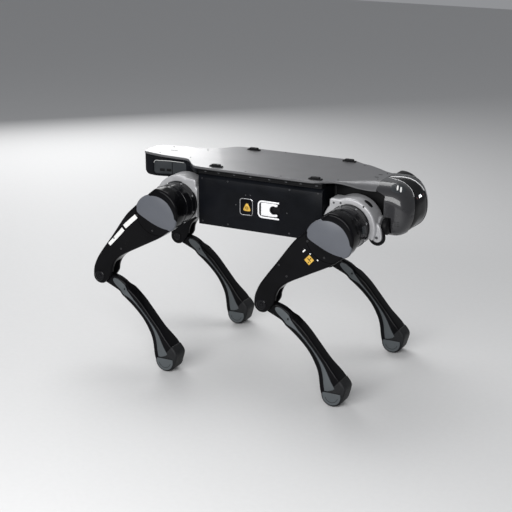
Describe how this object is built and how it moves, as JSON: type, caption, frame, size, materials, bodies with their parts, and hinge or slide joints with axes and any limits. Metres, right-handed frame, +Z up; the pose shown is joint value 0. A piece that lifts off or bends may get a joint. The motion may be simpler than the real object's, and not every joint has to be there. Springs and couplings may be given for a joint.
{
  "type": "quadruped robot dog",
  "caption": "Four-legged walking robot with a flat payload deck, jointed legs with rubber feet, rounded sensor head and side latches.",
  "frame": {"origin": "floor level, middle of the standing robot's bounding box", "axes": "+X towards the head, +Y to the robot's left, +Z up"},
  "size_m": [1.008, 0.58, 0.659],
  "materials": {
    "aluminium": "bead-blasted casting",
    "deck_paint": "semi-gloss dark grey coat",
    "gloss_black": "gloss",
    "cover_black": "satin",
    "black_plastic": "fine texture",
    "motor_black": "black anodised",
    "slate": "satin",
    "steel": "plain",
    "rubber": "matt",
    "badge": "gold print on black",
    "lamp": "clear",
    "battery_case": "matt",
    "heat_sink": "black anodised",
    "button": "satin"
  },
  "bodies": {
    "trunk": {"spine_frame": "aluminium", "deck_plate": "deck_paint", "deck_lugs": "black_plastic", "cap_screws": "steel", "side_rails": "black_plastic", "belly_pan": "black_plastic", "left_side_cover": "cover_black", "right_side_cover": "cover_black", "latch_pins": "steel", "badge_plates": "badge", "tail_housing": "cover_black", "tail_hatches": "black_plastic", "head_shell": "deck_paint", "visor": "gloss_black", "headlights": "lamp", "depth_camera": "black_plastic", "indicator_windows": "lamp", "battery_pack": "battery_case", "computer_module": "heat_sink", "power_module": "heat_sink", "abduction_motors": "motor_black"},
    "left_latch": {"left_latch_handle": "aluminium"},
    "right_latch": {"right_latch_handle": "aluminium"},
    "power_button": {"power_button": "button"},
    "front_left_hip": {"front_left_hip_carrier": "aluminium", "front_left_hip_motor": "motor_black"},
    "front_left_upper_leg": {"front_left_thigh": "gloss_black", "front_left_thigh_cap": "slate", "front_left_knee_motor": "motor_black", "front_left_knee_axle": "steel"},
    "front_left_lower_leg": {"front_left_shin": "gloss_black", "front_left_foot_pad": "rubber", "front_left_foot_cap": "slate"},
    "front_right_hip": {"front_right_hip_carrier": "aluminium", "front_right_hip_motor": "motor_black"},
    "front_right_upper_leg": {"front_right_thigh": "gloss_black", "front_right_thigh_cap": "slate", "front_right_knee_motor": "motor_black", "front_right_knee_axle": "steel"},
    "front_right_lower_leg": {"front_right_shin": "gloss_black", "front_right_foot_pad": "rubber", "front_right_foot_cap": "slate"},
    "rear_left_hip": {"rear_left_hip_carrier": "aluminium", "rear_left_hip_motor": "motor_black"},
    "rear_left_upper_leg": {"rear_left_thigh": "gloss_black", "rear_left_thigh_cap": "slate", "rear_left_knee_motor": "motor_black", "rear_left_knee_axle": "steel"},
    "rear_left_lower_leg": {"rear_left_shin": "gloss_black", "rear_left_foot_pad": "rubber", "rear_left_foot_cap": "slate"},
    "rear_right_hip": {"rear_right_hip_carrier": "aluminium", "rear_right_hip_motor": "motor_black"},
    "rear_right_upper_leg": {"rear_right_thigh": "gloss_black", "rear_right_thigh_cap": "slate", "rear_right_knee_motor": "motor_black", "rear_right_knee_axle": "steel"},
    "rear_right_lower_leg": {"rear_right_shin": "gloss_black", "rear_right_foot_pad": "rubber", "rear_right_foot_cap": "slate"}
  },
  "joints": [
    {"name": "front_left_roll", "type": "hinge", "parent": "trunk", "child": "front_left_hip", "pos_m": [0.33509, 0.1, 0.53], "axis": [1, 0, 0], "range_deg": [-15, 25]},
    {"name": "front_left_pitch", "type": "hinge", "parent": "front_left_hip", "child": "front_left_upper_leg", "pos_m": [0.33509, 0.238, 0.53], "axis": [0, -1, 0], "range_deg": [-35, 60]},
    {"name": "front_left_knee", "type": "hinge", "parent": "front_left_upper_leg", "child": "front_left_lower_leg", "pos_m": [0.1073, 0.238, 0.28573], "axis": [0, 1, 0], "range_deg": [-50, 50]},
    {"name": "front_right_roll", "type": "hinge", "parent": "trunk", "child": "front_right_hip", "pos_m": [0.33509, -0.1, 0.53], "axis": [-1, 0, 0], "range_deg": [-15, 25]},
    {"name": "front_right_pitch", "type": "hinge", "parent": "front_right_hip", "child": "front_right_upper_leg", "pos_m": [0.33509, -0.238, 0.53], "axis": [0, -1, 0], "range_deg": [-35, 60]},
    {"name": "front_right_knee", "type": "hinge", "parent": "front_right_upper_leg", "child": "front_right_lower_leg", "pos_m": [0.1073, -0.238, 0.28573], "axis": [0, 1, 0], "range_deg": [-50, 50]},
    {"name": "rear_left_roll", "type": "hinge", "parent": "trunk", "child": "rear_left_hip", "pos_m": [-0.24291, 0.1, 0.53], "axis": [1, 0, 0], "range_deg": [-15, 25]},
    {"name": "rear_left_pitch", "type": "hinge", "parent": "rear_left_hip", "child": "rear_left_upper_leg", "pos_m": [-0.24291, 0.238, 0.53], "axis": [0, -1, 0], "range_deg": [-60, 20]},
    {"name": "rear_left_knee", "type": "hinge", "parent": "rear_left_upper_leg", "child": "rear_left_lower_leg", "pos_m": [-0.4707, 0.238, 0.28573], "axis": [0, 1, 0], "range_deg": [-50, 50]},
    {"name": "rear_right_roll", "type": "hinge", "parent": "trunk", "child": "rear_right_hip", "pos_m": [-0.24291, -0.1, 0.53], "axis": [-1, 0, 0], "range_deg": [-15, 25]},
    {"name": "rear_right_pitch", "type": "hinge", "parent": "rear_right_hip", "child": "rear_right_upper_leg", "pos_m": [-0.24291, -0.238, 0.53], "axis": [0, -1, 0], "range_deg": [-60, 20]},
    {"name": "rear_right_knee", "type": "hinge", "parent": "rear_right_upper_leg", "child": "rear_right_lower_leg", "pos_m": [-0.4707, -0.238, 0.28573], "axis": [0, 1, 0], "range_deg": [-50, 50]},
    {"name": "left_latch_hinge", "type": "hinge", "parent": "trunk", "child": "left_latch", "pos_m": [0.04409, 0.1395, 0.542], "axis": [0, 0, 1], "range_deg": [0, 75], "stiffness_Nm_per_rad": 0.1, "springref_deg": -17.19},
    {"name": "right_latch_hinge", "type": "hinge", "parent": "trunk", "child": "right_latch", "pos_m": [0.04409, -0.1395, 0.542], "axis": [0, 0, -1], "range_deg": [0, 75], "stiffness_Nm_per_rad": 0.1, "springref_deg": -17.19},
    {"name": "power_button_press", "type": "slide", "parent": "trunk", "child": "power_button", "axis": [1, 0, 0], "range_m": [0, 0.002], "stiffness_N_per_m": 200, "springref_m": -0.002}
  ]
}
